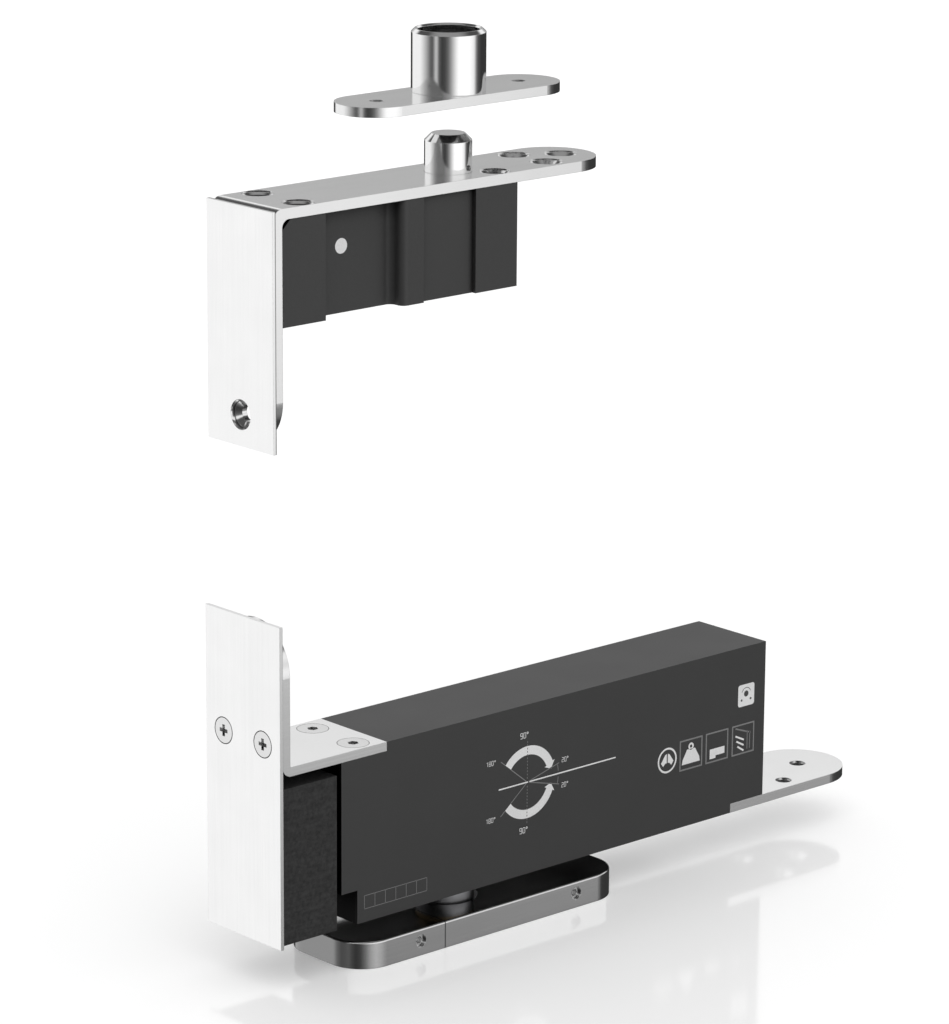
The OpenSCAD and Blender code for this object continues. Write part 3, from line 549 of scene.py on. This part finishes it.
bright_marks, faint_marks, dark_marks = Print(FACE_Y), Print(FACE_Y), Print(FACE_Y)
swing_dial(bright_marks, faint_marks)
empty_cells(faint_marks)
icon_row(bright_marks, faint_marks)
valve_mark(bright_marks, dark_marks)
bright_marks.finish("print_bright", INK_BRIGHT, "closer")
faint_marks.finish("print_faint", INK_FAINT, "closer")
dark_marks.finish("print_dark", INK_DARK, "closer")


# ---------- studio ----------

# Turns the compass of the mirrored surroundings so that 0 degrees looks back at the camera
CAMERA_SIDE = 131.8


def studio_world():
    """White for the camera, even light for matt surfaces, and soft boxes and flags for metal to mirror."""
    world = bpy.data.worlds.new("studio")
    bpy.context.scene.world = world
    world.use_nodes = True
    nodes = Nodes(world.node_tree)
    for node in list(world.node_tree.nodes):
        world.node_tree.nodes.remove(node)
    direction = nodes.add("ShaderNodeTexCoord").outputs["Generated"]
    axes = nodes.add("ShaderNodeSeparateXYZ", {"Vector": direction})
    around = nodes.math("ARCTAN2", axes.outputs["Y"], axes.outputs["X"])
    turned_round = nodes.math("FRACT", nodes.math("MULTIPLY_ADD", around, 1 / TAU, 1.5 + CAMERA_SIDE / 360))

    def ring(stops):
        """Greys round the horizon at degrees to the right of the camera, as seen from the object."""
        return nodes.ramp(turned_round, [(degrees / 360 + 0.5, grey) for degrees, grey in stops])

    def climb(first, second, low, high):
        """Passes from one ring to another between two heights of the direction."""
        inputs = {"Value": axes.outputs["Z"], "From Min": low, "From Max": high}
        height = nodes.add("ShaderNodeMapRange", inputs, interpolation_type="SMOOTHSTEP")
        return nodes.mix(height.outputs[0], first, second)

    ground = ring([(-180, 0.05), (-147, 0.05), (-140, 1.0), (-92, 1.0), (-78, 0.45), (-65, 0.28), (-48, 0.21),
                   (-32, 0.11), (-16, 0.04), (-1, 0.06), (14, 0.16), (30, 0.37), (46, 0.51), (63, 0.42),
                   (80, 0.26), (90, 0.24), (100, 0.05), (180, 0.04)])
    level = ring([(-180, 0.04), (-147, 0.05), (-140, 1.02), (-97, 1.02), (-88, 0.85), (-78, 0.62), (-67, 0.36),
                  (-58, 0.15), (-50, 0.1), (-45, 0.28), (-39, 0.6), (-35, 0.5), (-29, 0.12), (-20, 0.05),
                  (-10, 0.07), (-1, 0.15), (8, 0.37), (17, 0.7), (26, 1.05), (34, 1.25), (62, 1.25), (76, 1.1),
                  (85, 0.93), (93, 0.3), (101, 0.09), (118, 0.04), (180, 0.04)])
    above = ring([(-180, 0.42), (-150, 0.5), (-140, 1.0), (-100, 1.0), (-80, 0.5), (-65, 0.2), (-50, 0.07),
                  (-20, 0.06), (5, 0.3), (26, 0.95), (75, 0.95), (100, 0.5), (140, 0.42), (180, 0.42)])
    dome, shoulder, zenith = ((grey, grey, grey, 1) for grey in (1.0, 0.08, 0.3))
    mirrored = climb(ground, level, -0.37, -0.2)
    mirrored = climb(mirrored, above, -0.02, 0.1)
    mirrored = climb(mirrored, dome, 0.17, 0.35)
    mirrored = climb(mirrored, shoulder, 0.45, 0.6)
    mirrored = climb(mirrored, zenith, 0.8, 0.97)
    path = nodes.add("ShaderNodeLightPath")
    even = nodes.add("ShaderNodeBackground", {"Color": (1, 1, 1, 1), "Strength": 0.75})
    glossy = nodes.add("ShaderNodeBackground", {"Color": mirrored, "Strength": 1.0})
    seen = nodes.add("ShaderNodeBackground", {"Color": (1, 1, 1, 1), "Strength": 1.0})
    first = nodes.add("ShaderNodeMixShader", {0: path.outputs["Is Glossy Ray"], 1: even.outputs[0],
                                              2: glossy.outputs[0]})
    second = nodes.add("ShaderNodeMixShader", {0: path.outputs["Is Camera Ray"], 1: first.outputs[0],
                                               2: seen.outputs[0]})
    out = nodes.add("ShaderNodeOutputWorld")
    nodes.tree.links.new(second.outputs[0], out.inputs["Surface"])


def studio_floor():
    """A pale glossy floor that stays white to the camera and keeps the object's shadow."""
    mesh = bpy.data.meshes.new("floor")
    reach = 6.0
    drop = -0.00005
    corners = [(-reach, -reach, drop), (reach, -reach, drop), (reach, reach, drop), (-reach, reach, drop)]
    mesh.from_pydata(corners, [], [(0, 1, 2, 3)])
    floor = put("floor", mesh)
    material, nodes, shader = new_material("floor_white")
    shader.inputs["Base Color"].default_value = (0.95, 0.95, 0.95, 1)
    shader.inputs["Roughness"].default_value = 0.09
    path = nodes.add("ShaderNodeLightPath")
    coords = nodes.add("ShaderNodeTexCoord").outputs["Object"]
    away = nodes.add("ShaderNodeVectorMath", {0: coords}, operation="LENGTH").outputs["Value"]
    backdrop = slope(nodes, away, 0.25, 1.6, 0.17, 0.45)
    lift = nodes.math("MULTIPLY", path.outputs["Is Camera Ray"], backdrop)
    shader.inputs["Emission Color"].default_value = (1, 1, 1, 1)
    link(nodes, lift, shader, "Emission Strength")
    mesh.materials.append(material)
    floor.visible_glossy = False


def key_light():
    """One broad soft light from the left front, level over the whole floor."""
    light = bpy.data.lights.new("key", "SUN")
    light.angle = math.radians(70)
    light.energy = 0.6
    lamp = put("key", light)
    lamp.rotation_euler = Vector((0.35, 0.55, -1.0)).to_track_quat("-Z", "Y").to_euler()
    lamp.visible_glossy = False


def photo_camera():
    """The photograph's view: a long lens from the lower left front."""
    data = bpy.data.cameras.new("camera")
    data.sensor_width = 36
    data.lens = 155.31
    data.shift_x = 0.0443
    data.clip_start = 0.05
    data.clip_end = 50
    camera = put("camera", data)
    azimuth, elevation, roll = (math.radians(a) for a in (-41.587, 14.833, 0.219))
    back = Vector((math.sin(azimuth) * math.cos(elevation), -math.cos(azimuth) * math.cos(elevation),
                   math.sin(elevation)))
    right = Vector((math.cos(azimuth), math.sin(azimuth), 0))
    up = back.cross(right)
    turned_right = right * math.cos(roll) + up * math.sin(roll)
    turned_up = up * math.cos(roll) - right * math.sin(roll)
    place = (-0.90361, -1.01000, 0.49613)
    rows = [(turned_right[i], turned_up[i], back[i], place[i]) for i in range(3)]
    camera.matrix_world = Matrix(rows + [(0, 0, 0, 1)])
    bpy.context.scene.camera = camera


studio_world()
studio_floor()
key_light()
photo_camera()
bpy.context.scene.view_settings.view_transform = "Standard"
